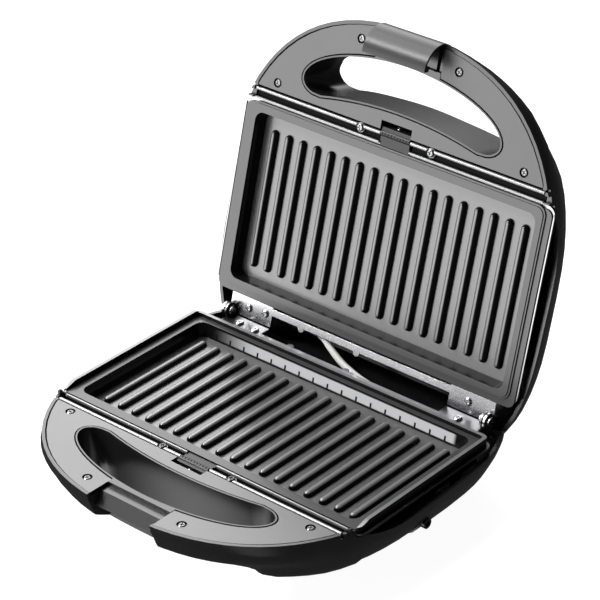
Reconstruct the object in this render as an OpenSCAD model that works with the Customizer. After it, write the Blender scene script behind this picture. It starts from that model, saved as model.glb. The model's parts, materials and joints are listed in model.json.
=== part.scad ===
// Panini press: a hinged two-plate contact grill, shown with its lid open on the hinge stop.
// Millimetres. +Z is up, -Y is the handle (front), +X is the right-hand side.
// Both halves are drawn in one local frame: hinge axis at y 0, parting plane at z 0,
// material below it. The lid is that half mirrored and swung open about the hinge.

/* [Body] */
// Widest half-width of the housings
body_half_w = 123.7; // [118:0.1:130]
// Depth of each housing below the parting plane
body_depth = 40; // [38:0.5:46]
// Height of the rubber feet under the base
foot_h = 4; // [3:0.5:6]
// Angle between the halves when the lid rests on its stop
open_angle = 104.65; // [95:0.05:104.65]

/* [Plates] */
// Number of ribs on each plate
rib_count = 18; // [8:2:18]
// Distance between rib centres
rib_pitch = 11.4; // [9:0.1:11.4]
// Rib height above the plate floor
rib_h = 3; // [1.5:0.1:3.2]
// Rib width at its foot
rib_w = 5.9; // [4:0.1:6]

/* [Latch] */
// Half-length of the latch grip
latch_half_w = 23.5; // [20:0.5:23.5]

/* [Hidden] */
$fn = 48;

// --- overall frame ------------------------------------------------------------------------
centre_y = -80;                 // centre of the housing outline
front_b = 131.8;                // outline half-depth towards the handle
rear_b = 116.2;                 // outline half-depth towards the hinge
front_n = 2.4;                  // roundness exponents of the outline
rear_n = 3.8;
rear_y = 12;                    // flat rear wall
hinge_z = body_depth + foot_h;
front_y = centre_y - front_b;   // foremost point of the outline
lid_back_y = 77.388;            // rearmost point of the open lid behind the hinge
front_reach = -210.564;         // foremost solid, beside the latch recess
hinge_y = -(front_reach + lid_back_y) / 2;
top_gap = 0.15;                 // each rim stays this far below the parting plane
wall = 2;                       // housing wall

// Domed housing, ring by ring: depth, and the share of the outline at the sides and rear,
// at the front shoulders and under the handle
ring_depth = [0.16, 5, 10, 14.5, 17.5, 20, 24, 28, 32, 35, 37.5, 39.3, 40, 40] * body_depth / 40;
side_share = [1, 1.003, 1.001, 0.991, 0.983, 0.974, 0.96, 0.944, 0.918, 0.878, 0.838, 0.74, 0.58, 0.4];
shoulder_share = [1, 1.008, 1.004, 0.98, 0.955, 0.935, 0.913, 0.897, 0.879, 0.853, 0.8, 0.7, 0.57, 0.4];
handle_ring = [1, 0.993, 0.976, 0.964, 0.953, 0.92, 0.861, 0.762, 0.66, 0.58, 0.5, 0.45, 0.42, 0.35];
outline_steps = 72;

function sgn_pow(v, e) = sign(v) * pow(abs(v), e);
function outline_raw(t, grow = 0) = let (s = sin(t), b = s < 0 ? front_b : rear_b, n = s < 0 ? front_n : rear_n)
  [(body_half_w + grow) * sgn_pow(cos(t), 2 / n), (b + grow) * sgn_pow(s, 2 / n)];
function clip_rear(p, lim) = [p[0], min(p[1], lim)];
function outline(grow = 0, lim = rear_y) = [for (i = [0 : outline_steps - 1])
  let (p = outline_raw(i * 360 / outline_steps, grow)) clip_rear([p[0], centre_y + p[1]], lim)];
function handle_share(p) = pow(min(1, max(0, (-p[1] / front_b - 0.53) / 0.45)), 1.25);
function ring_at(i, w) = w < 0.5 ? side_share[i] * (1 - 2 * w) + shoulder_share[i] * 2 * w
  : shoulder_share[i] * (2 - 2 * w) + handle_ring[i] * (2 * w - 1);

// One ring of the dome; inset > 0 gives the hollow inside the wall
function dome_ring(i, inset) = [for (k = [0 : outline_steps - 1])
  let (p = outline_raw(k * 360 / outline_steps), z = -ring_depth[i],
    rho = ring_at(i, handle_share(p)) - inset / body_half_w,
    zi = inset > 0 ? (i == 0 ? 1 : z + inset * min(1, -z / 8)) : min(z, -top_gap))
  [p[0] * rho, min(centre_y + p[1] * rho, rear_y - inset), zi]];

module dome(inset) {
  n = outline_steps; m = len(ring_depth);
  pts = [for (i = [0 : m - 1]) for (q = dome_ring(i, inset)) q];
  polyhedron(points = pts, convexity = 4, faces = concat(
    [[for (k = [n - 1 : -1 : 0]) k]], [[for (k = [0 : n - 1]) (m - 1) * n + k]],
    [for (i = [0 : m - 2]) for (k = [0 : n - 1]) each [
      [i * n + k, i * n + (k + 1) % n, (i + 1) * n + k],
      [i * n + (k + 1) % n, (i + 1) * n + (k + 1) % n, (i + 1) * n + k]]]));
}

// --- finger opening in the handle -----------------------------------------------------------
grip_y = -163; grip_a = 75; grip_b = 26.7; grip_n = 1.9;   // front curve
grip_rear_r = 281.3; grip_rear_c = 120;                    // rear curve: arc radius and its centre
grip_corner = [63.3, 8.1];                                 // rounded ends: inner x and height
function grip_pts(g = 0) = concat(
  [for (t = [0 : 6 : 180]) [(grip_a + g) * sgn_pow(cos(t), 2 / grip_n),
    grip_y - (grip_b + g) * pow(sin(t), 2 / grip_n)]],
  [for (t = [15 : 15 : 75]) [-grip_corner[0] - (grip_a + g - grip_corner[0]) * cos(t),
    grip_y + (grip_corner[1] + g) * sin(t)]],
  [for (x = [-60 : 7.5 : 60]) [x, grip_rear_c - sqrt(pow(grip_rear_r - g, 2) - x * x)]],
  [for (t = [75 : -15 : 15]) [grip_corner[0] + (grip_a + g - grip_corner[0]) * cos(t),
    grip_y + (grip_corner[1] + g) * sin(t)]]);
sleeve_t = 1.1;                 // wall around the opening

// --- latch and its recess ---------------------------------------------------------------------
recess_half_w = 24.4;
recess_y = -192.8;              // rear wall of the recess, just in front of the finger opening
latch_y = -195;                 // axis of the half-round latch shell
latch_ro = 15.8; latch_ri = 14.3;
core_r = 14;                    // handle core that the latch wraps
core_flat = 11;                 // the hem of the latch hooks under the core here
pivot = [-197.5, 10.5];         // latch pivot, as distance into the lid
pivot_r = 1.5;
lug_x = 20.4; lug_t = 1.8;      // latch lugs on the pivot

// --- panel, bezel and buttons ---------------------------------------------------------------
panel_top = -0.4; panel_t = 2.2;
panel_rear = -148;
panel_screws = [[94.3, -152.9], [36.95, -197.2]];
bezel_y = [-146.9, -139];
bezel_end = 110.4; stub_x = 111.6;   // a gap parts the strip from the same profile in the side walls
bezel_screw = [27, -144.1];
button_half_w = 11;
button_travel = 3.5;

// --- plates and trays -------------------------------------------------------------------------
plate_x = 116.5; plate_front = -137.3; plate_rear = -14.5; // base plate flange
lid_plate_x = 113.4; lid_plate_rear = -15.2;               // lid plate sits inside the base lip
plate_top = -1.5; plate_flange_t = 2.3;
well_x = 108; well_front = -131; well_rear = -20.5;        // ribbed well
well_floor = -10.7; well_draft = 2; skin = 2.5;
rib_y = [-120.5, -29];
lip_w = 2.4; side_lip_top = 2; rear_lip_top = 1.1;
tray_x = 119; tray_front = -138.3; tray_rear = -13.5; tray_top = -4;
tray_floor = -14.5; sump_x = 100; sump_y = [-126, -28]; sump_floor = -26;
tray_screw = [106.5, -122, -34];

// --- hinge ----------------------------------------------------------------------------------------
pin_r = 2; pin_play = 0.06;
cheek_r = 5;
base_cheek_x = 100.9; lid_cheek_x = 103.2; cheek_t = 1.6;
bar_top = -4; bar_t = 1;
bar_screws = [[-89.8, -4.2], [-76.3, -5], [85.2, -4.6]];

module both_x() { children(); mirror([1, 0, 0]) children(); }
module rod_x(r, x0, x1) { translate([x0, 0, 0]) rotate([0, 90, 0]) cylinder(h = x1 - x0, r = r); }
module block(x0, x1, y0, y1, z0, z1) { translate([x0, y0, z0]) cube([x1 - x0, y1 - y0, z1 - z0]); }
// A flat slab with round upright corners
module slab(hx, y0, y1, z0, z1, r) {
  translate([0, 0, z0]) linear_extrude(z1 - z0) {
    translate([-hx + r, y0]) square([2 * (hx - r), y1 - y0]);
    translate([-hx, y0 + r]) square([2 * hx, y1 - y0 - 2 * r]);
    for (x = [-hx + r, hx - r]) for (y = [y0 + r, y1 - r]) translate([x, y]) circle(r);
  }
}
// Places the lid half: mirrored over the base, then swung open about the hinge
module lid_half() { rotate([-open_angle, 0, 0]) mirror([0, 0, 1]) children(); }
module stand() { translate([0, hinge_y, hinge_z]) children(); }

// --- housings ---------------------------------------------------------------------------------------
// Everything that stays solid inside the hollow: sleeve, recess walls and screw posts
module housing_inside(is_base) {
  translate([0, 0, -60]) linear_extrude(60 - top_gap) polygon(grip_pts(sleeve_t));
  block(-recess_half_w - wall, recess_half_w + wall, front_y - 1, recess_y + 4.3, -60, panel_top - panel_t - 0.1);
  block(-recess_half_w, recess_half_w, recess_y - 0.2, recess_y + 4.3, -60, 0);
  both_x() block(109.3, 130, -150.6, bezel_y[1] - 0.2, -10, 0);
  both_x() for (p = panel_screws) translate([p[0], p[1], -60]) cylinder(h = 60 + panel_top - panel_t - 0.1, r = 3.6);
  both_x() translate([bezel_screw[0], bezel_screw[1], -60]) cylinder(h = 60 - 4.6, r = 3.2);
  both_x() for (k = [1, 2]) translate([tray_screw[0], tray_screw[k], -60])
    cylinder(h = 60 + tray_floor - 0.9, r = 3.4);
  for (p = bar_screws) translate([p[0], p[1], -60]) cylinder(h = 60 + bar_top - bar_t - 0.05, r = 3.2);
  if (is_base) both_x() for (p = foot_pos) translate([p[0], p[1], -60]) cylinder(h = 60 - body_depth + 5, r = 9);
}

// Side rims dip below the parting plane so that the plates' edges show
module rim_dip() {
  dip = concat([for (y = [-139.2, -134, -128, -122, -115, -109]) [y, -10 + 10 * pow((y + 103) / 45, 2)]],
    [[-103, -10], [4.9, -6.6], [14, -6.6 - 9.1 * 1.295], [14, 5], [-139.2, 5]]);
  rotate([90, 0, 90]) translate([0, 0, -135]) linear_extrude(270) polygon(dip);
}

module latch_core(flat) {
  intersection() {
    translate([0, latch_y, 0]) rod_x(core_r, -recess_half_w - 1, recess_half_w + 1);
    block(-40, 40, -230, -190, -flat, 0);
  }
}

module housing(is_base) {
  difference() {
    dome(0);
    difference() { dome(wall); housing_inside(is_base); }
    translate([0, 0, -60]) linear_extrude(70) polygon(grip_pts(0));
    rim_dip();
    block(-stub_x, stub_x, bezel_y[0] - 0.3, bezel_y[1] + 0.2, -4.5, 2);
    both_x() for (y = [[-148, -146.3], [-144.1, -140.2]]) block(stub_x - 0.1, 135, y[0], y[1], -3, 2);
    block(-tray_x - 0.6, tray_x + 0.6, tray_front - 0.6, -100, -5.3, 2);
    // latch recess, leaving the core
    difference() {
      block(-recess_half_w, recess_half_w, -230, recess_y, -60, 2);
      if (is_base) difference() {
        latch_core(core_flat);
        translate([0, -197, 0]) rotate([50.7, 0, 0]) block(-40, 40, -40, 0, 0, 30);
      }
      else difference() {
        latch_core(12.3);
        both_x() block(lug_x - lug_t / 2 - 0.3, lug_x + lug_t / 2 + 0.3, -230, recess_y, -60, 2);
        translate([0, pivot[0], -pivot[1]]) rod_x(pivot_r + 0.01, -40, 40);
      }
    }
    block(-recess_half_w, recess_half_w, -230, recess_y - 0.2, panel_top, 2);
    if (!is_base) translate([0, pivot[0], -pivot[1]]) rod_x(pivot_r + 0.01, -25.5, 25.5);
    // screw holes
    both_x() for (p = panel_screws) translate([p[0], p[1], -14]) cylinder(h = 14, r = 1.55);
    both_x() translate([bezel_screw[0], bezel_screw[1], -12]) cylinder(h = 12, r = 1.3);
    both_x() for (k = [1, 2]) translate([tray_screw[0], tray_screw[k], -25]) cylinder(h = 25, r = 1.55);
    for (p = bar_screws) translate([p[0], p[1], -14]) cylinder(h = 14, r = 1.55);
    if (is_base) {
      side_step();
      both_x() for (p = foot_pos) translate([p[0], p[1], -body_depth - 5]) cylinder(h = 7, r = foot_r + 0.05);
      translate([cord_x, rear_y - wall - 1, cord_z]) rotate([-90, 0, 0]) cylinder(h = 6, r = bush_r);
    }
    else both_x() translate([lamp_pos[0], lamp_pos[1], -body_depth - 2]) cylinder(h = 5, r = lamp_r + 0.05);
  }
  if (is_base) {
    translate([0, side_lug[0], side_lug[1]]) difference() {
      rod_x(3.4, 116.4, 120.8);
      rod_x(2.1, 119.2, 122);
    }
    // locating ears in the end channels; they enter the lid's channels when it closes
    both_x() intersection() {
      union() {
        block(112.2, 116, -143.3, -141, -4, 0.2);
        translate([113.9, -141, 0.1]) rotate([90, 0, 0]) cylinder(h = 2.3, r = 1.7);
      }
      translate([0, 0, -4]) linear_extrude(7) polygon(outline(0.2));
    }
  }
}

// Shallow step low on the right-hand side wall
module side_step() {
  difference() {
    rotate([90, 0, 90]) translate([0, 0, 90]) linear_extrude(45)
      polygon([[-129, -15], [-84, -21.3], [-84, -39], [-129, -39]]);
    dome(0.7);
  }
}
side_lug = [-79, -25];          // small moulded lug low on the right-hand side

foot_r = 7;
foot_pos = [[60, -126], [80, -2]];
cord_x = 60; cord_z = -27; bush_r = 6.5; cord_r = 3.4;
lamp_pos = [11, -116]; lamp_r = 3;

module base_housing() { stand() color([0.09, 0.09, 0.095]) housing(true); }
module lid_housing() { stand() lid_half() color([0.09, 0.09, 0.095]) housing(false); }

// --- handle panels ------------------------------------------------------------------------------------
module handle_panel() {
  difference() {
    translate([0, 0, panel_top - panel_t]) linear_extrude(panel_t) difference() {
      polygon(outline(-2.7));
      polygon(grip_pts(sleeve_t + 0.9));
      translate([-150, panel_rear]) square([300, 200]);
      translate([-recess_half_w - 0.2, -230]) square([2 * recess_half_w + 0.4, 40.6]);
      translate([-button_half_w - 0.6, panel_rear - 5.6]) square([2 * button_half_w + 1.2, 10]);
      for (s = [-1, 1]) translate([s * 114.8 - 6, -151.1]) square([12, 10]);
    }
    both_x() for (p = panel_screws) translate([p[0], p[1], 0]) {
      translate([0, 0, -5]) cylinder(h = 10, r = 1.7);
      translate([0, 0, panel_top - 1.5]) cylinder(h = 3, r = 3.05);
    }
  }
}
module base_handle_panel() { stand() color([0.24, 0.24, 0.25]) handle_panel(); }
module lid_handle_panel() { stand() lid_half() color([0.24, 0.24, 0.25]) handle_panel(); }

// Round-head cross screw seated at z 0
module pan_screw(rh, hh, rs, len) {
  difference() {
    union() {
      cylinder(h = hh * 0.5, r = rh);
      translate([0, 0, hh * 0.5]) cylinder(h = hh * 0.5, r1 = rh, r2 = rh * 0.7);
      translate([0, 0, -len]) cylinder(h = len + 0.01, r = rs);
    }
    for (a = [0, 90]) rotate([0, 0, a])
      translate([-rh * 0.6, -rh * 0.14, hh - 0.8]) cube([rh * 1.2, rh * 0.28, 1]);
  }
}
module panel_screw_set() {
  both_x() for (p = panel_screws) translate([p[0], p[1], panel_top - 1.5])
    rotate([0, 0, 25]) pan_screw(2.45, 1.35, 1.5, 10);
}
module base_panel_screws() { stand() color([0.45, 0.45, 0.46]) panel_screw_set(); }
module lid_panel_screws() { stand() lid_half() color([0.45, 0.45, 0.46]) panel_screw_set(); }

// --- bezel strip between panel and plate ----------------------------------------------------------------
module bezel() {
  difference() {
    union() {
      block(-bezel_end, bezel_end, bezel_y[0], bezel_y[1], -4.4, -3.6);
      block(-bezel_end, bezel_end, -146.3, -144.1, -3.7, -1.7);
      translate([0, -145.2, -1.7]) rod_x(1.1, -bezel_end, bezel_end);
      block(-bezel_end, bezel_end, bezel_y[1] - 1, bezel_y[1], -3.7, -0.9);
      both_x() translate([bezel_screw[0], bezel_screw[1], -4.4]) cylinder(h = 2.6, r = 3.1);
    }
    block(-button_half_w - 0.6, button_half_w + 0.6, -160, -130, -5, 2);
    both_x() translate([bezel_screw[0], bezel_screw[1], -5]) cylinder(h = 6, r = 1.4);
    both_x() translate([bezel_screw[0], bezel_screw[1], -1.8]) cylinder(h = 4, r = 3.1);
  }
}
module base_bezel() { stand() color([0.32, 0.32, 0.33]) bezel(); }
module lid_bezel() { stand() lid_half() color([0.32, 0.32, 0.33]) bezel(); }
module bezel_screw_set() {
  both_x() translate([bezel_screw[0], bezel_screw[1], -1.8]) rotate([0, 0, 12]) pan_screw(2.6, 1.3, 1.25, 9);
}
module base_bezel_screws() { stand() color([0.5, 0.5, 0.5]) bezel_screw_set(); }
module lid_bezel_screws() { stand() lid_half() color([0.7, 0.7, 0.7]) bezel_screw_set(); }

// --- heater trays -----------------------------------------------------------------------------------------
module tray() {
  t = 0.8;
  difference() {
    union() {
      slab(tray_x, tray_front, tray_rear, tray_top - t, tray_top, 7);
      // turned-up hem along the side edges
      difference() {
        slab(tray_x, tray_front, tray_rear, tray_top - t, tray_top + 0.8, 7);
        slab(tray_x - t, tray_front - 10, tray_rear + 10, tray_top - 2, tray_top + 2, 6.2);
        block(-130, 130, tray_front - 1, tray_front + 4, tray_top, 0);
      }
      slab(112.6, -134.6, -17.4, tray_floor - t, tray_top - 0.1, 6);
      slab(sump_x + t, sump_y[0] - t, sump_y[1] + t, sump_floor - t, tray_floor - 0.1, 8);
    }
    slab(112.6 - t, -134.6 + t, -17.4 - t, tray_floor, 5, 5.2);
    slab(sump_x, sump_y[0], sump_y[1], sump_floor, 5, 7.2);
    both_x() for (k = [1, 2]) translate([tray_screw[0], tray_screw[k], -20]) cylinder(h = 8, r = 1.7);
    for (x = [-9, 9]) translate([x, sump_y[1] + 3, element_z]) rotate([90, 0, 0])
      translate([0, 0, -3]) cylinder(h = 8, r = 3.9);
    translate([0, -80, -30]) cylinder(h = 8, r = 5.2);
  }
}
module base_heater_tray() { stand() color([0.72, 0.72, 0.72]) tray(); }
module lid_heater_tray() { stand() lid_half() color([0.72, 0.72, 0.72]) tray(); }
module tray_screw_set() {
  both_x() for (k = [1, 2]) translate([tray_screw[0], tray_screw[k], tray_floor + 0.02])
    pan_screw(2.8, 1.1, 1.5, 9);
}
module base_tray_screws() { stand() color([0.6, 0.6, 0.6]) tray_screw_set(); }
module lid_tray_screws() { stand() lid_half() color([0.6, 0.6, 0.6]) tray_screw_set(); }

// --- heating elements: a sheathed rod bent into a double U ----------------------------------------------------
element_r = 3.2; element_z = -19.4;
module bend(x, y, r, a) {
  translate([x, y, element_z]) rotate([0, 0, a]) rotate_extrude(angle = 180) translate([r, 0]) circle(element_r);
}
module run_y(x, y0, y1) { translate([x, y0, element_z]) rotate([-90, 0, 0]) cylinder(h = y1 - y0, r = element_r); }
module element() {
  for (s = [-1, 1]) {
    run_y(s * 9, -100, -20);
    bend(s * 25.5, -100, 16.5, 180);
    run_y(s * 42, -100, -54);
    bend(s * 58.5, -54, 16.5, 0);
    run_y(s * 75, -100, -54);
    translate([s * 9, -20, element_z]) rotate([-90, 0, 0]) cylinder(h = 5, r = 1.5);
    translate([s * 75, -104.6, element_z]) rotate([-90, 0, 0]) cylinder(h = 4.6, r = element_r - 0.6);
  }
}
module base_heating_element() { stand() color([0.35, 0.33, 0.32]) element(); }
module lid_heating_element() { stand() lid_half() color([0.35, 0.33, 0.32]) element(); }

// --- grill plates -----------------------------------------------------------------------------------------------
module rib() {
  r = rib_w / 2;
  y0 = rib_y[0] + r; y1 = rib_y[1] - r;
  prof = concat([[0, -0.5], [r, -0.5], [r, 0]],
    [for (k = [[0.9, 0.35], [0.76, 0.65], [0.56, 0.86], [0.3, 0.97], [0, 1]]) [r * k[0], rib_h * k[1]]]);
  translate([0, y0, well_floor]) rotate_extrude($fn = 20) polygon(prof);
  translate([0, y1, well_floor]) rotate_extrude($fn = 20) polygon(prof);
  translate([0, y0, well_floor]) rotate([90, 0, 180]) linear_extrude(y1 - y0)
    polygon(concat(prof, [for (k = [len(prof) - 1 : -1 : 0]) [-prof[k][0], prof[k][1]]]));
}
// The well with sloping walls
module well(x, y0, y1, z0, drop, r) {
  hull() {
    slab(x, y0, y1, z0, z0 + 0.5, r, $fn = 32);
    slab(x - well_draft, y0 + well_draft, y1 - well_draft, z0 - drop, z0 - drop + 0.5, r - 1.4, $fn = 32);
  }
}
module plate(is_base) {
  hx = is_base ? plate_x : lid_plate_x;
  yr = is_base ? plate_rear : lid_plate_rear;
  difference() {
    union() {
      if (is_base) slab(hx, plate_front, yr, plate_top - plate_flange_t, plate_top, 5);
      else {
        slab(hx, plate_front, yr, plate_top - plate_flange_t, plate_top - 0.6, 6.5);
        slab(hx - 1.3, plate_front + 1.3, yr - 1.3, plate_top - plate_flange_t, plate_top, 5.4);
        slab(117.4, plate_front + 1.2, -11.6, -3.95, -3, 5);
      }
      if (is_base) difference() {
        slab(plate_x, plate_front, plate_rear, plate_top - 1, side_lip_top, 5);
        slab(plate_x - lip_w, plate_front - 10, plate_rear - lip_w, plate_top - 2, 5, 3);
        block(-130, 130, plate_rear - lip_w - 0.5, 0, rear_lip_top, 9);
        // the lip slopes away towards the front corners
        rotate([90, 0, 90]) translate([0, 0, -130]) linear_extrude(260)
          polygon([[-140, plate_top], [-128, side_lip_top], [-128, 9], [-140, 9]]);
      }
      well(well_x + skin, well_front - skin, well_rear + skin - 0.4, plate_top - 0.8, 11.7, 8);
    }
    well(well_x, well_front, well_rear, plate_top, plate_top - well_floor, 6);
    block(-120, 120, -140, 0, -30, well_floor - skin);
    block(-200, 200, -138, -6, plate_top + (is_base ? 10 : 0), 30);
  }
  for (i = [0 : rib_count - 1]) translate([(i - (rib_count - 1) / 2) * rib_pitch, 0, 0]) rib();
}
module base_grill_plate() { stand() color([0.16, 0.16, 0.165]) plate(true); }
module lid_grill_plate() { stand() lid_half() color([0.16, 0.16, 0.165]) plate(false); }

// --- release buttons and their springs ------------------------------------------------------------------------------
module button() {
  difference() {
    union() {
      block(-button_half_w, button_half_w, -149.6, -141, -3.4, -1.6);
      block(-button_half_w, button_half_w, -141.2, -137.8, -3.4, -2.2);
      translate([0, -145.6, -2.4]) rod_x(2, -button_half_w, button_half_w);
      block(-button_half_w, button_half_w, -149.6, -148, -7.4, -3);
      both_x() block(button_half_w - 1, button_half_w + 2.4, -146, -142, -5.6, -4.5);
      block(-button_half_w, button_half_w, -146, -142, -5.6, -3.2);
    }
    for (x = [-9.2 : 2.3 : 9.2]) translate([x, -145.6, -0.25]) rotate([90, 0, 0])
      translate([0, 0, -4]) cylinder(h = 8, r = 0.45, $fn = 16);
  }
}
module base_release_button() { stand() color([0.12, 0.12, 0.125]) button(); }
module lid_release_button() { stand() lid_half() color([0.12, 0.12, 0.125]) button(); }

spring_turns = 6; spring_r = 1.9; spring_wire = 0.3; spring_len = 8;
function helix_pt(a) = [spring_r * cos(a), spring_r * sin(a), spring_len * a / 360 / spring_turns];
module coil() {
  n = spring_turns * 12; m = 6;
  pts = [for (i = [0 : n]) let (a = i * 30) for (k = [0 : m - 1])
    let (b = k * 360 / m, r = spring_r + spring_wire * cos(b))
    [r * cos(a), r * sin(a), helix_pt(a)[2] + spring_wire * sin(b)]];
  polyhedron(points = pts, faces = concat(
    [[for (k = [0 : m - 1]) k]], [[for (k = [m - 1 : -1 : 0]) n * m + k]],
    [for (i = [0 : n - 1]) for (k = [0 : m - 1]) each [
      [i * m + (k + 1) % m, i * m + k, (i + 1) * m + k],
      [i * m + (k + 1) % m, (i + 1) * m + k, (i + 1) * m + (k + 1) % m]]]));
}
module button_spring() { translate([0, -149.95, -5.2]) rotate([90, 0, 0]) coil(); }
module base_button_spring() { stand() color([0.7, 0.7, 0.7]) button_spring(); }
module lid_button_spring() { stand() lid_half() color([0.7, 0.7, 0.7]) button_spring(); }

// --- hinge bars: a stamped strip with a drilled cheek at each end ---------------------------------------------------
module hinge_bar(is_base) {
  cx = is_base ? base_cheek_x : lid_cheek_x;
  other = is_base ? lid_cheek_x : base_cheek_x;
  ex = is_base ? 102.5 : 104.8;
  difference() {
    union() {
      block(-71, 76, -9.8, -5.4, bar_top - bar_t, bar_top);
      both_x() block(70.8, ex, -11, 2.4, bar_top - bar_t, bar_top);
      for (x = [-47, -2]) translate([x, -5, bar_top - bar_t]) cylinder(h = bar_t, r = 2.4);
      both_x() rod_x(cheek_r, cx, cx + cheek_t);
    }
    both_x() rod_x(pin_r + (is_base ? 0 : pin_play), 90, 115);
    both_x() rod_x(cheek_r + 0.35, other - 0.35, other + cheek_t + 0.35);
    for (p = bar_screws) translate([p[0], p[1], -10]) cylinder(h = 12, r = 1.65);
  }
}
module base_hinge_bar() { stand() color([0.75, 0.75, 0.75]) hinge_bar(true); }
module lid_hinge_bar() { stand() lid_half() color([0.8, 0.8, 0.8]) hinge_bar(false); }
module bar_screw_set() { for (p = bar_screws) translate([p[0], p[1], bar_top + 0.02]) pan_screw(2.7, 1.4, 1.5, 9); }
module base_hinge_screws() { stand() color([0.7, 0.7, 0.7]) bar_screw_set(); }
module lid_hinge_screws() { stand() lid_half() color([0.7, 0.7, 0.7]) bar_screw_set(); }
// Headed pins fixed in the base cheeks; the lid cheeks turn on them
module hinge_pins() {
  stand() color([0.65, 0.65, 0.66]) both_x() {
    rod_x(pin_r, 98.6, 105.2);
    rod_x(3.1, 105.2, 106.5);
    rod_x(2.9, 99.2, 100.6);
  }
}

// --- latch ---------------------------------------------------------------------------------------------------------------
module latch_shape() {
  difference() {
    union() {
      difference() {
        translate([0, latch_y, 0]) rod_x(latch_ro, -latch_half_w, latch_half_w);
        translate([0, latch_y, 0]) rod_x(latch_ri, -30, 30);
        block(-30, 30, -197.2, -170, -30, 0);
        block(-30, 30, latch_y + 0.6, -170, -30, 30);
      }
      // hem that hooks under the base core (the latch is drawn with the lid, so this side is z > 0)
      intersection() {
        difference() {
          translate([0, latch_y, 0]) rod_x(latch_ri + 0.3, -latch_half_w, latch_half_w);
          translate([0, latch_y, 0]) rod_x(core_flat + 0.35, -30, 30);
        }
        block(-30, 30, -197.6, latch_y + 0.6, 0, 20);
      }
      // lugs on the pivot pin
      both_x() intersection() {
        translate([0, latch_y, 0]) rod_x(latch_ri + 0.3, lug_x - lug_t / 2, lug_x + lug_t / 2);
        block(0, 30, -207, -195.4, -20, -7.2);
      }
    }
    translate([0, pivot[0], -pivot[1]]) rod_x(pivot_r + 0.06, -40, 40);
  }
}
module latch() { stand() lid_half() color([0.1, 0.1, 0.105]) latch_shape(); }
module latch_pivot_pin() {
  stand() lid_half() color([0.65, 0.65, 0.66]) translate([0, pivot[0], -pivot[1]]) rod_x(pivot_r, -25.2, 25.2);
}

// --- base: feet, electrics and cord inlet ---------------------------------------------------------------------------------
module rubber_feet() {
  stand() color([0.06, 0.06, 0.06]) both_x() for (p = foot_pos) translate([p[0], p[1], -hinge_z]) {
    cylinder(h = 1, r1 = foot_r - 1, r2 = foot_r);
    translate([0, 0, 1]) cylinder(h = foot_h + 0.9, r = foot_r);
  }
}
module thermostat() {
  stand() color([0.85, 0.82, 0.75]) translate([0, -80, -34.5]) {
    cylinder(h = 7.6, r = 8);
    translate([0, 0, 7.5]) cylinder(h = 0.7, r = 5);
    for (x = [-5.5, 5.5]) translate([x - 1.5, -8.6 - 4, 2]) cube([3, 5, 0.8]);
  }
}
module thermal_fuse() {
  stand() color([0.8, 0.8, 0.8]) translate([0, -50, -31]) {
    rod_x(2.2, 24, 36);
    rod_x(0.6, 14, 46);
  }
}
module terminal_block() {
  stand() color([0.9, 0.9, 0.86]) difference() {
    block(43, 69.5, -11, -2, -36.2, -27.4);
    for (x = [47.5, 56.5, 65.5]) translate([x, -6.5, -31]) cylinder(h = 5, r = 2);
    for (x = [47.5, 56.5, 65.5]) translate([x, -13, -33]) rotate([-90, 0, 0]) cylinder(h = 5.5, r = 1.6);
  }
}
module cord_inlet_bush() {
  stand() color([0.07, 0.07, 0.07]) translate([cord_x, rear_y, cord_z]) rotate([-90, 0, 0]) difference() {
    union() {
      translate([0, 0, 0.02]) cylinder(h = 2.4, r = 8);
      translate([0, 0, -4.4]) cylinder(h = 4.6, r = bush_r - 0.05);
      translate([0, 0, -4.4]) cylinder(h = 2, r = 7.6);
    }
    translate([0, 0, -5]) cylinder(h = 9, r = cord_r);
  }
}

// --- heat-proof sleeve with the lid's wires ------------------------------------------------------------------------------
sleeve_r = 2.2;
sleeve_route = [[-50, 27, -8], [-40, 17, -4], [-31, 9.6, 0.6], [-22, 6, -2.5], [-12, 3, -6], [-3, 1, -7.8],
  [7, -1, -9], [17, -2, -10], [28, -3, -11.5], [37, -3.5, -15], [43, -4, -20], [46.6, -4.6, -26]];
function unit(v) = v / norm(v);
module tube(route, r) {
  n = len(route); m = 12;
  dirs = [for (i = [0 : n - 1]) unit(route[min(n - 1, i + 1)] - route[max(0, i - 1)])];
  pts = [for (i = [0 : n - 1]) let (u = unit(cross(dirs[i], [0, 1, 0])), v = cross(dirs[i], u))
    for (k = [0 : m - 1]) route[i] + r * (cos(k * 30) * u + sin(k * 30) * v)];
  polyhedron(points = pts, faces = concat(
    [[for (k = [m - 1 : -1 : 0]) k]], [[for (k = [0 : m - 1]) (n - 1) * m + k]],
    [for (i = [0 : n - 2]) for (k = [0 : m - 1]) each [
      [i * m + k, i * m + (k + 1) % m, (i + 1) * m + k],
      [i * m + (k + 1) % m, (i + 1) * m + (k + 1) % m, (i + 1) * m + k]]]));
}
module wire_sleeve() { stand() color([0.82, 0.81, 0.77]) tube(sleeve_route, sleeve_r); }

// --- lid: indicator lamps -----------------------------------------------------------------------------------------------
module lamp_lenses() {
  stand() lid_half() color([0.6, 0.1, 0.08]) both_x() translate([lamp_pos[0], lamp_pos[1], -body_depth - 0.8]) {
    cylinder(h = 3.4, r = lamp_r);
    translate([0, 0, 3.4]) cylinder(h = 0.8, r = lamp_r + 0.8);
  }
}
module neon_lamps() {
  stand() lid_half() color([0.9, 0.6, 0.4]) both_x() translate([lamp_pos[0], lamp_pos[1], -36]) {
    cylinder(h = 7, r = 2);
    translate([0, 0, 7]) cylinder(h = 1, r = 1.2);
  }
}

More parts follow.
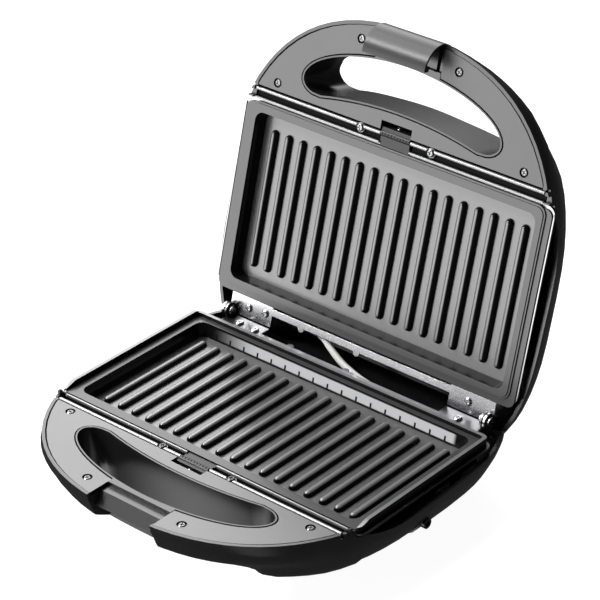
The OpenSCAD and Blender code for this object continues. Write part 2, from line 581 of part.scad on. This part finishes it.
base_housing();
base_handle_panel();
base_panel_screws();
base_bezel();
base_bezel_screws();
base_heater_tray();
base_tray_screws();
base_heating_element();
base_grill_plate();
base_release_button();
base_button_spring();
base_hinge_bar();
base_hinge_screws();
hinge_pins();
rubber_feet();
thermostat();
thermal_fuse();
terminal_block();
cord_inlet_bush();
wire_sleeve();
lid_housing();
lid_handle_panel();
lid_panel_screws();
lid_bezel();
lid_bezel_screws();
lid_heater_tray();
lid_tray_screws();
lid_heating_element();
lid_grill_plate();
lid_release_button();
lid_button_spring();
lid_hinge_bar();
lid_hinge_screws();
latch();
latch_pivot_pin();
lamp_lenses();
neon_lamps();
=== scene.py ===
import math
import bpy
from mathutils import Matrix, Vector
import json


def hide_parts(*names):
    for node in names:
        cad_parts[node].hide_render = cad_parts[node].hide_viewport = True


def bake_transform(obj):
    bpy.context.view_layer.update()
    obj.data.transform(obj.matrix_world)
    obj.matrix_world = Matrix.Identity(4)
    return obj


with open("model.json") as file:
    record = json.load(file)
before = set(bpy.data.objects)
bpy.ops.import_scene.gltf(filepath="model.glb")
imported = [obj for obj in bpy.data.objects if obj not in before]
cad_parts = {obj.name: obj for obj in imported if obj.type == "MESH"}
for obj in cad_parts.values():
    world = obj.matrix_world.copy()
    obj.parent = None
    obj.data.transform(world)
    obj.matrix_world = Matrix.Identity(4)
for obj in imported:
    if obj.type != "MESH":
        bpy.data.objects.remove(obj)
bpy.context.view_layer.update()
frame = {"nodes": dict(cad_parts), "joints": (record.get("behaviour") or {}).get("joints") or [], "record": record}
NODES = frame["nodes"]
SLOTS = {part["node"]: part["material_slot"] for part in frame["record"]["subparts"]}
SCENE = bpy.context.scene

# ---------------------------------------------------------------- places in the frame
MM = 0.001
X_AXIS, Y_AXIS, Z_AXIS = Vector((1, 0, 0)), Vector((0, 1, 0)), Vector((0, 0, 1))
LID_HINGE = next(joint for joint in frame["joints"] if joint["name"] == "lid_hinge")
HINGE = Vector(LID_HINGE["pos_m"])
# Out of each half's parting plane: the lid stands as far open as its hinge lets it
SHUT_TURN = math.radians(LID_HINGE["range_deg"][0])
UP = {"base": Z_AXIS, "lid": Vector((0, math.sin(SHUT_TURN), -math.cos(SHUT_TURN)))}

# Heights over a half's parting plane, in mm: each pair is where a mask starts and where it is full; these masks
# paint shade into the bezel channel, the plate flange and the base well floor
SHADED_CHANNEL_EDGE = (-3.1, -1.6)
FLANGE_FOOT = (-4.5, -3.0)
FLANGE_TOP = (-1.0, -0.4)
WELL_FLOOR = (-10.4, -8.6)

# Painted reflection: a bright strip along the rear wall of the base well, broken by small dark painted reflections
# of the ribs along its lower edge, in mm from the hinge
STRIP_X = (-105, 95.5)
STRIP_Y = (-23.2, -19.2)
STRIP_Z = (-9.2, -3.0)
STRIP_FADE_IN = (-98, -58)
STRIP_END_SOFT = 1.5
STRIP_EDGE_SOFT = 0.4
RIB_REFLECTION_PITCH = 11.4
RIB_REFLECTION_PHASE = 2.5
RIB_REFLECTION_HALF_WIDTH = (0.5, 0.9)
RIB_REFLECTION_TOP = (-6.7, -6.1)


# ---------------------------------------------------------------- shader nodes
def new_material(name):
    material = bpy.data.materials.new(name)
    material.use_nodes = True
    return material, material.node_tree, principled(material)


def principled(material):
    return next(node for node in material.node_tree.nodes if node.type == "BSDF_PRINCIPLED")


def operate(tree, operation, first, second):
    """A maths node; each input is a socket or a number."""
    node = tree.nodes.new("ShaderNodeMath")
    node.operation = operation
    for socket, value in zip(node.inputs, (first, second)):
        if isinstance(value, bpy.types.NodeSocket):
            tree.links.new(value, socket)
        else:
            socket.default_value = value
    return node.outputs[0]


def remap(tree, value, start, end, to_start=0, to_end=1, smooth=True):
    node = tree.nodes.new("ShaderNodeMapRange")
    node.interpolation_type = "SMOOTHSTEP" if smooth else "LINEAR"
    node.inputs["From Min"].default_value = start
    node.inputs["From Max"].default_value = end
    node.inputs["To Min"].default_value = to_start
    node.inputs["To Max"].default_value = to_end
    tree.links.new(value, node.inputs["Value"])
    return node.outputs["Result"]


def scale_value(tree, mask, low, high):
    return remap(tree, mask, 0, 1, low, high, smooth=False)


def along(tree, vector, axis):
    """How far a vector socket reaches along an axis."""
    node = tree.nodes.new("ShaderNodeVectorMath")
    node.operation = "DOT_PRODUCT"
    node.inputs[1].default_value = axis
    tree.links.new(vector, node.inputs[0])
    return node.outputs["Value"]


def coordinate(tree, kind):
    return tree.nodes.new("ShaderNodeTexCoord").outputs[kind]


def mix_color(tree, mask, low, high):
    """low where the mask is 0 and high where it is 1; each is a socket or a colour."""
    node = tree.nodes.new("ShaderNodeMix")
    node.data_type = "RGBA"
    tree.links.new(mask, node.inputs[0])
    for socket, value in zip(node.inputs[6:8], (low, high)):
        if isinstance(value, tuple):
            socket.default_value = (*value, 1)
        else:
            tree.links.new(value, socket)
    return node.outputs[2]


def grain(tree, scale, detail, rough):
    """Object-space noise: the same on every copy of a piece, whatever its UVs."""
    node = tree.nodes.new("ShaderNodeTexNoise")
    node.inputs["Scale"].default_value = scale
    node.inputs["Detail"].default_value = detail
    node.inputs["Roughness"].default_value = rough
    tree.links.new(coordinate(tree, "Object"), node.inputs["Vector"])
    return node.outputs["Fac"]


def ramp(tree, source, dark_at, dark, light_at, light):
    """dark below dark_at, light above light_at."""
    node = tree.nodes.new("ShaderNodeValToRGB")
    for element, place, colour in zip(node.color_ramp.elements, (dark_at, light_at), (dark, light)):
        element.position = place
        element.color = (*colour, 1)
    tree.links.new(source, node.inputs["Fac"])
    return node.outputs["Color"]


def bump(tree, shader, source, strength, depth_mm):
    node = tree.nodes.new("ShaderNodeBump")
    node.inputs["Strength"].default_value = strength
    node.inputs["Distance"].default_value = depth_mm * MM
    tree.links.new(source, node.inputs["Height"])
    tree.links.new(node.outputs["Normal"], shader.inputs["Normal"])


# ---------------------------------------------------------------- masks
def facing(tree, axis, start, end):
    """1 where the object-space normal points along axis, 0 where it turns away."""
    return remap(tree, along(tree, coordinate(tree, "Normal"), axis.normalized()), start, end)


def from_hinge(axis, distances):
    """Distances in mm from the hinge along an axis, as object-space places in metres."""
    return [HINGE.dot(axis) + distance * MM for distance in distances]


def height(tree, up, levels):
    """0 below the first level and 1 above the second."""
    return remap(tree, along(tree, coordinate(tree, "Object"), up), *from_hinge(up, levels))


def band(tree, value, ends, soft):
    """1 between two ends in metres, 0 outside, over soft edges."""
    start, end = ends
    rise = remap(tree, value, start - soft, start + soft)
    fall = remap(tree, value, end - soft, end + soft, 1, 0)
    return operate(tree, "MULTIPLY", rise, fall)


def painted_reflection_strip(tree):
    """1 on the painted reflection strip of the base well, but 0 in the small dark painted reflections of the ribs
    along its lower edge.
    """
    place = coordinate(tree, "Object")
    x, y, z = (along(tree, place, axis) for axis in (X_AXIS, Y_AXIS, Z_AXIS))
    mask = remap(tree, x, *from_hinge(X_AXIS, STRIP_FADE_IN))
    for value, axis, ends, soft in ((x, X_AXIS, STRIP_X, STRIP_END_SOFT),
                                    (y, Y_AXIS, STRIP_Y, STRIP_EDGE_SOFT),
                                    (z, Z_AXIS, STRIP_Z, STRIP_EDGE_SOFT)):
        mask = operate(tree, "MULTIPLY", mask, band(tree, value, from_hinge(axis, ends), soft * MM))
    shifted = operate(tree, "ADD", x, RIB_REFLECTION_PHASE * MM)
    from_rib_reflection = operate(tree, "PINGPONG", shifted, RIB_REFLECTION_PITCH / 2 * MM)
    beside = remap(tree, from_rib_reflection, *(width * MM for width in RIB_REFLECTION_HALF_WIDTH))
    above = remap(tree, z, *from_hinge(Z_AXIS, RIB_REFLECTION_TOP))
    return operate(tree, "MULTIPLY", mask, operate(tree, "MAXIMUM", beside, above))


# ---------------------------------------------------------------- materials
MOTTLE_SCALE = 18
ROUGH_SPREAD = 0.05
# Painted shade on the plates' flange and walls, and the tone of the painted reflection strip in the base well
FLANGE_SHADE_TONE = 0.03
WALL_SHADE_BLACK = 0.004
STRIP_REFLECTION_TONE = 0.46


def grey(value):
    """A grey with a trace of blue."""
    return (value, value, value * 1.02)


def satin(name, dark, light, rough, grain_scale=1400, bump_mm=0.02, bump_strength=0.4,
          metallic=0.0, specular=0.5):
    """A moulded or painted surface: slow mottling in colour, fine grain in bump and roughness."""
    material, tree, shader = new_material(name)
    slow = grain(tree, MOTTLE_SCALE, 4.0, 0.55)
    fine = grain(tree, grain_scale, 2.0, 0.7)
    roughness = scale_value(tree, fine, rough - ROUGH_SPREAD, rough + ROUGH_SPREAD)
    tree.links.new(ramp(tree, slow, 0.3, dark, 0.7, light), shader.inputs["Base Color"])
    tree.links.new(roughness, shader.inputs["Roughness"])
    bump(tree, shader, fine, bump_strength, bump_mm)
    shader.inputs["Metallic"].default_value = metallic
    shader.inputs["Specular IOR Level"].default_value = specular
    return material


def woven(name, dark, light, pitch_mm):
    """Braided glass fibre: two crossed sets of bands in colour and bump."""
    material, tree, shader = new_material(name)
    route = tree.nodes.new("ShaderNodeUVMap").outputs["UV"]
    bands = []
    for turn in (45, -45):
        crossed = tree.nodes.new("ShaderNodeMapping")
        crossed.inputs["Rotation"].default_value = (0, 0, math.radians(turn))
        wave = tree.nodes.new("ShaderNodeTexWave")
        wave.inputs["Scale"].default_value = 0.32 / (pitch_mm * MM)
        tree.links.new(route, crossed.inputs["Vector"])
        tree.links.new(crossed.outputs["Vector"], wave.inputs["Vector"])
        bands.append(wave.outputs["Fac"])
    top = operate(tree, "MAXIMUM", *bands)
    tree.links.new(ramp(tree, top, 0.2, dark, 0.9, light), shader.inputs["Base Color"])
    bump(tree, shader, top, 0.6, 0.2)
    shader.inputs["Roughness"].default_value = 0.85
    return material


def paint_shade(material, mask, dark, low_specular, high_specular):
    """Paints shade into a satin material: dark and dull where the mask is 0."""
    tree, shader = material.node_tree, principled(material)
    base_color = shader.inputs["Base Color"]
    colour = mix_color(tree, mask, grey(dark), base_color.links[0].from_socket)
    tree.links.new(colour, base_color)
    specular = scale_value(tree, mask, low_specular, high_specular)
    tree.links.new(specular, shader.inputs["Specular IOR Level"])
    return material


def handle_panel(name, up, tone):
    """A satin panel, with painted black shade where it turns away from the half's open side."""
    material = satin(name, grey(tone), grey(tone * 1.15), 0.36, grain_scale=2200, bump_mm=0.010)
    outward = facing(material.node_tree, up, 0.55, 0.85)
    # painted shade: black and dull where the panel turns away from the open side
    return paint_shade(material, outward, dark=0.004, low_specular=0.05, high_specular=0.5)


def bezel_strip(name, up):
    """A bright rod and lip over a channel floor painted black as shade."""
    material = satin(name, grey(0.16), grey(0.19), 0.24, bump_mm=0.006)
    above_shaded_channel = height(material.node_tree, up, SHADED_CHANNEL_EDGE)
    # painted shade: the channel floor below the rod and lip is black and dull
    return paint_shade(material, above_shaded_channel, dark=0.003, low_specular=0.02, high_specular=1.0)


def coated(name, up, tone, light_lean, flat_from, flat_to, rim_gloss, floor_shade_tone=None, reflection_strip=False):
    """Non-stick coating with painted light and shade: its own tone on the flat faces and rib tops turned up and
    towards the key light on the left, painted black shade and dull down the walls and rib sides that turn away,
    painted dark shade on the flange, painted shade on the base's well floor, and a painted reflection strip on the
    base well's rear wall.
    """
    material = satin(name, grey(tone), grey(tone * 1.2), 0.30, grain_scale=1500)
    tree, shader = material.node_tree, principled(material)
    # Faces turned up and leaning left, towards the key light, keep the coating's tone; the rest gets painted shade
    lit_faces = facing(tree, up - light_lean * X_AXIS, flat_from, flat_to)
    flange = operate(tree, "SUBTRACT", height(tree, up, FLANGE_FOOT), height(tree, up, FLANGE_TOP))
    colour = shader.inputs["Base Color"].links[0].from_socket
    # painted shade: a dark flange
    colour = mix_color(tree, flange, colour, grey(FLANGE_SHADE_TONE))
    # painted shade: the base's well floor is darker than the rib tops
    if floor_shade_tone:
        colour = mix_color(tree, height(tree, up, WELL_FLOOR), grey(floor_shade_tone), colour)
    # painted shade: black down the walls and rib sides turned away from the key light
    colour = mix_color(tree, lit_faces, grey(WALL_SHADE_BLACK), colour)
    # painted reflection: a bright strip on the base well's rear wall, with dark painted reflections of the ribs
    if reflection_strip:
        colour = mix_color(tree, painted_reflection_strip(tree), colour, grey(STRIP_REFLECTION_TONE))
    gloss = operate(tree, "MULTIPLY", scale_value(tree, lit_faces, 0.05, 0.62),
                    scale_value(tree, flange, 1.0, rim_gloss))
    tree.links.new(colour, shader.inputs["Base Color"])
    tree.links.new(gloss, shader.inputs["Specular IOR Level"])
    shader.inputs["Coat Weight"].default_value = 0.25
    shader.inputs["Coat Roughness"].default_value = 0.13
    return material


SLOT_LOOKS = {
    "body_plastic": satin("body_plastic", grey(0.007), grey(0.010), 0.24, bump_mm=0.010),
    "coated_plate": coated("coated_plate", UP["base"], tone=0.085, light_lean=0.15, flat_from=0.45,
                           flat_to=0.78, rim_gloss=0.35, floor_shade_tone=0.035, reflection_strip=True),
    "tray_steel": satin("tray_steel", grey(0.20), grey(0.25), 0.30, metallic=1.0, grain_scale=900),
    "element_steel": satin("element_steel", grey(0.12), grey(0.2), 0.5, metallic=0.8),
    "dark_screw": satin("dark_screw", grey(0.13), grey(0.17), 0.30, metallic=1.0),
    "rubber": satin("rubber", grey(0.015), grey(0.022), 0.8, grain_scale=500),
    "sleeve_fabric": woven("sleeve_fabric", (0.30, 0.30, 0.29), (0.62, 0.62, 0.60), 0.9),
    "white_ceramic": satin("white_ceramic", (0.7, 0.68, 0.62), (0.8, 0.78, 0.72), 0.6),
    "red_lens": satin("red_lens", (0.35, 0.01, 0.01), (0.45, 0.02, 0.015), 0.15),
    "lamp_glass": satin("lamp_glass", (0.8, 0.5, 0.3), (0.9, 0.6, 0.4), 0.1),
    "bright_steel": satin("bright_steel", grey(0.34), grey(0.44), 0.26, metallic=1.0,
                          grain_scale=700, bump_mm=0.003, bump_strength=0.2),
}

# Pieces that look different from the rest of their slot
NODE_LOOKS = {
    # The lid's plate and handle panel are darker copies of the base's coating and panel grey: painted shade
    "lid_grill_plate": coated("coated_plate_lid", UP["lid"], tone=0.055, light_lean=0.45, flat_from=0.78,
                              flat_to=0.905, rim_gloss=0.5),
    "base_handle_panel": handle_panel("panel_plastic_base", UP["base"], 0.085),
    "lid_handle_panel": handle_panel("panel_plastic_lid", UP["lid"], 0.045),
    "base_bezel": bezel_strip("bezel_base", UP["base"]),
    "lid_bezel": bezel_strip("bezel_lid", UP["lid"]),
    "base_release_button": satin("button_base", grey(0.006), grey(0.009), 0.4, specular=0.3),
    "lid_release_button": satin("button_lid", grey(0.006), grey(0.009), 0.4, specular=0.3),
    "latch": satin("latch_plastic", grey(0.006), grey(0.009), 0.34, specular=0.28, bump_mm=0.012),
    "base_hinge_bar": satin("rear_bar_steel", grey(0.13), grey(0.17), 0.3, metallic=1.0, bump_mm=0.003),
    "base_bezel_screws": satin("zinc_screw_base", grey(0.06), grey(0.09), 0.35, metallic=1.0),
    "lid_bezel_screws": satin("zinc_screw_lid", grey(0.16), grey(0.2), 0.3, metallic=1.0),
}

# ---------------------------------------------------------------- edges and shading
# Width in mm of the rounded edges, by the first of these words in a node's name
BEVEL = {"pivot_pin": 0.0, "grill_plate": 0.5, "handle_panel": 0.12, "bezel": 0.2, "heater_tray": 0.2,
         "hinge_bar": 0.25, "latch": 0.4, "release_button": 0.25, "screws": 0.15, "housing": 0.3}
SHARP_ANGLE = 30
BEVELLED_SHARP_ANGLE = 50
FLAT_ANGLE = 0.6
WELD_DISTANCE = 0.01


def smooth_group():
    """Shades smooth below an angle, as a modifier, so the CAD meshes themselves stay unchanged."""
    group = bpy.data.node_groups.new("smooth_angle", "GeometryNodeTree")
    group.interface.new_socket("Geometry", in_out="INPUT", socket_type="NodeSocketGeometry")
    group.interface.new_socket("Angle", in_out="INPUT", socket_type="NodeSocketFloat")
    group.interface.new_socket("Geometry", in_out="OUTPUT", socket_type="NodeSocketGeometry")
    incoming = group.nodes.new("NodeGroupInput")
    outgoing = group.nodes.new("NodeGroupOutput")
    edge_angle = group.nodes.new("GeometryNodeInputMeshEdgeAngle")
    is_soft = group.nodes.new("FunctionNodeCompare")
    is_soft.data_type = "FLOAT"
    is_soft.operation = "LESS_EQUAL"
    faces = group.nodes.new("GeometryNodeSetShadeSmooth")
    faces.domain = "FACE"
    faces.inputs["Shade Smooth"].default_value = True
    edges = group.nodes.new("GeometryNodeSetShadeSmooth")
    edges.domain = "EDGE"
    link = group.links.new
    link(incoming.outputs["Geometry"], faces.inputs["Geometry"])
    link(faces.outputs["Geometry"], edges.inputs["Geometry"])
    link(edge_angle.outputs["Unsigned Angle"], is_soft.inputs[0])
    link(incoming.outputs["Angle"], is_soft.inputs[1])
    link(is_soft.outputs[0], edges.inputs["Shade Smooth"])
    link(edges.outputs["Geometry"], outgoing.inputs["Geometry"])
    return group


SMOOTH = smooth_group()
ANGLE_SOCKET = next(item.identifier for item in SMOOTH.interface.items_tree if item.name == "Angle")


def soften(obj, bevel_mm):
    """Joins split vertices, merges flat facets, rounds the sharp edges and smooths the rest."""
    weld = obj.modifiers.new("weld", "WELD")
    weld.merge_threshold = WELD_DISTANCE * MM
    if bevel_mm:
        flat = obj.modifiers.new("flat", "DECIMATE")
        flat.decimate_type = "DISSOLVE"
        flat.angle_limit = math.radians(FLAT_ANGLE)
        edge = obj.modifiers.new("edge", "BEVEL")
        edge.width = bevel_mm * MM
        edge.segments = 2
        edge.limit_method = "ANGLE"
        edge.angle_limit = math.radians(SHARP_ANGLE)
    smooth = obj.modifiers.new("smooth_angle", "NODES")
    smooth.node_group = SMOOTH
    smooth[ANGLE_SOCKET] = math.radians(BEVELLED_SHARP_ANGLE if bevel_mm else SHARP_ANGLE)
    if bevel_mm:
        weighted = obj.modifiers.new("weighted", "WEIGHTED_NORMAL")
        weighted.keep_sharp = True
        weighted.weight = 60


for name, obj in NODES.items():
    mesh = obj.data
    mesh.materials.clear()
    mesh.materials.append(NODE_LOOKS.get(name) or SLOT_LOOKS[SLOTS[name]])
    for face in mesh.polygons:
        face.material_index = 0
    soften(obj, next((width for word, width in BEVEL.items() if word in name), 0.0))

# ---------------------------------------------------------------- wire sleeve
SLEEVE_RADIUS = 2.15
SLEEVE_STEPS = 6
SLEEVE_SIDES = 20
# Route in mm from the hinge, from inside the lid to inside the base
SLEEVE_ROUTE = [(-50, 27, -8), (-40, 17, -4), (-31, 9.6, 0.6), (-22, 6, -2.5),
                (-12, 3, -6), (-3, 1, -7.8), (7, -1, -9), (17, -2, -10),
                (28, -3, -11.5), (37, -3.5, -15), (43, -4, -20), (46.6, -4.6, -26)]


def curve_through(points, steps):
    """A Catmull-Rom curve through the points."""
    last = len(points) - 1
    curve = []
    for i in range(last):
        p0, p1, p2, p3 = points[max(i - 1, 0)], points[i], points[i + 1], points[min(i + 2, last)]
        for k in range(steps):
            t = k / steps
            curve.append(0.5 * ((2 * p1) + (p2 - p0) * t + (2 * p0 - 5 * p1 + 4 * p2 - p3) * t * t
                                + (3 * p1 - p0 - 3 * p2 + p3) * t ** 3))
    return curve + [points[-1]]


def rings_along(curve, radius, sides):
    """A ring of points square to the curve at each of its points, each ring turned like the last."""
    last = len(curve) - 1
    side = Y_AXIS
    points = []
    for i, centre in enumerate(curve):
        ahead = (curve[min(i + 1, last)] - curve[max(i - 1, 0)]).normalized()
        side = (side - ahead * side.dot(ahead)).normalized()
        across = ahead.cross(side)
        for k in range(sides):
            turn = 2 * math.pi * k / sides
            points.append(centre + radius * (math.cos(turn) * side + math.sin(turn) * across))
    return points


def tube(name, route, radius, sides):
    """A smooth tube along a route of points, with UVs in metres along and round it."""
    curve = curve_through(route, SLEEVE_STEPS)
    last = len(curve) - 1
    girth_step = 2 * math.pi * radius / sides
    faces, uvs = [], []
    run = 0.0
    for i in range(last):
        next_run = run + (curve[i + 1] - curve[i]).length
        here, ahead = i * sides, (i + 1) * sides
        for k in range(sides):
            k2 = (k + 1) % sides
            faces.append((here + k, here + k2, ahead + k2, ahead + k))
            low, high = k * girth_step, (k + 1) * girth_step
            uvs += [(run, low), (run, high), (next_run, high), (next_run, low)]
        run = next_run
    faces += [tuple(reversed(range(sides))), tuple(range(last * sides, (last + 1) * sides))]
    uvs += [(0, 0)] * (2 * sides)
    mesh = bpy.data.meshes.new(name)
    mesh.from_pydata([tuple(point) for point in rings_along(curve, radius, sides)], [], faces)
    layer = mesh.uv_layers.new(name="UVMap")
    for corner, uv in zip(layer.data, uvs):
        corner.uv = uv
    for face in mesh.polygons:
        face.use_smooth = len(face.vertices) == 4
    obj = bpy.data.objects.new(name, mesh)
    SCENE.collection.objects.link(obj)
    return obj


route = [HINGE + Vector(point) * MM for point in SLEEVE_ROUTE]
sleeve = tube("braided_sleeve", route, SLEEVE_RADIUS * MM, SLEEVE_SIDES)
sleeve.data.materials.append(SLOT_LOOKS["sleeve_fabric"])
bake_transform(sleeve)
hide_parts("wire_sleeve")

# ---------------------------------------------------------------- floor
FLOOR_HALF = 6.0
FLOOR_DROP = 0.2
FLOOR_GLOW = 0.95


def paper_floor():
    """A wide sheet of bright paper just under the feet."""
    corners = [(x * FLOOR_HALF, y * FLOOR_HALF, 0) for x, y in ((-1, -1), (1, -1), (1, 1), (-1, 1))]
    mesh = bpy.data.meshes.new("floor")
    mesh.from_pydata(corners, [], [(0, 1, 2, 3)])
    material, tree, shader = new_material("floor_paper")
    colour = ramp(tree, grain(tree, 3.0, 5.0, 0.6), 0.3, (0.25, 0.25, 0.25), 0.7, (0.27, 0.27, 0.27))
    tree.links.new(colour, shader.inputs["Base Color"])
    shader.inputs["Roughness"].default_value = 0.9
    shader.inputs["Specular IOR Level"].default_value = 0.1
    shader.inputs["Emission Color"].default_value = (1, 1, 1, 1)
    shader.inputs["Emission Strength"].default_value = FLOOR_GLOW
    mesh.materials.append(material)
    obj = bpy.data.objects.new("floor", mesh)
    SCENE.collection.objects.link(obj)
    obj.location.z = -FLOOR_DROP * MM
    obj.visible_glossy = False
    return obj


floor = paper_floor()

# ---------------------------------------------------------------- light
# The room is dark, with broad soft glows where each open half mirrors it:
# direction, angle in degrees where the glow ends, angle where it is full, strength
ROOM = 0.05
GLOWS = [((-0.56, 0.62, 0.55), 29, 13, 5.4),
         ((-0.56, -0.82, -0.11), 36, 10, 6.2),
         ((-0.56, -0.48, 0.64), 8, 4, 55.0),
         ((0.45, -0.78, -0.45), 22, 6, 0.6)]
KEY_AT = Vector((-1.05, -0.15, 1.25))
KEY_AIM = Vector((0, 0.03, 0.08))
KEY_SIZE = 1.3
KEY_POWER = 46


def studio_world():
    world = bpy.data.worlds.new("studio")
    world.use_nodes = True
    tree = world.node_tree
    background = tree.nodes["Background"]
    background.inputs["Color"].default_value = (1, 1, 1, 1)
    direction = coordinate(tree, "Generated")
    strength = ROOM
    for axis, outer, inner, power in GLOWS:
        toward = along(tree, direction, Vector(axis).normalized())
        outer_cos, inner_cos = (math.cos(math.radians(angle)) for angle in (outer, inner))
        strength = operate(tree, "ADD", remap(tree, toward, outer_cos, inner_cos, 0, power), strength)
    tree.links.new(strength, background.inputs["Strength"])
    return world


def key_light():
    light = bpy.data.lights.new("key_left", "AREA")
    light.energy = KEY_POWER
    light.size = KEY_SIZE
    obj = bpy.data.objects.new("key_left", light)
    SCENE.collection.objects.link(obj)
    obj.location = KEY_AT
    obj.rotation_euler = (KEY_AIM - KEY_AT).to_track_quat("-Z", "Y").to_euler()


SCENE.world = studio_world()
key_light()

# ---------------------------------------------------------------- camera
LENS = 158.87
SENSOR = 36
CAMERA_FROM_HINGE = Vector((0.8807259, -1.0902163, 0.8506197))
CAMERA_DOWN = 29.910
CAMERA_TURN = 40.276

camera_data = bpy.data.cameras.new("camera")
camera_data.lens = LENS
camera_data.sensor_width = SENSOR
camera = bpy.data.objects.new("camera", camera_data)
SCENE.collection.objects.link(camera)
camera.location = HINGE + CAMERA_FROM_HINGE
camera.rotation_euler = (math.radians(90 - CAMERA_DOWN), 0, math.radians(CAMERA_TURN))
SCENE.camera = camera
SCENE.view_settings.view_transform = "Standard"
SCENE.view_settings.look = "None"
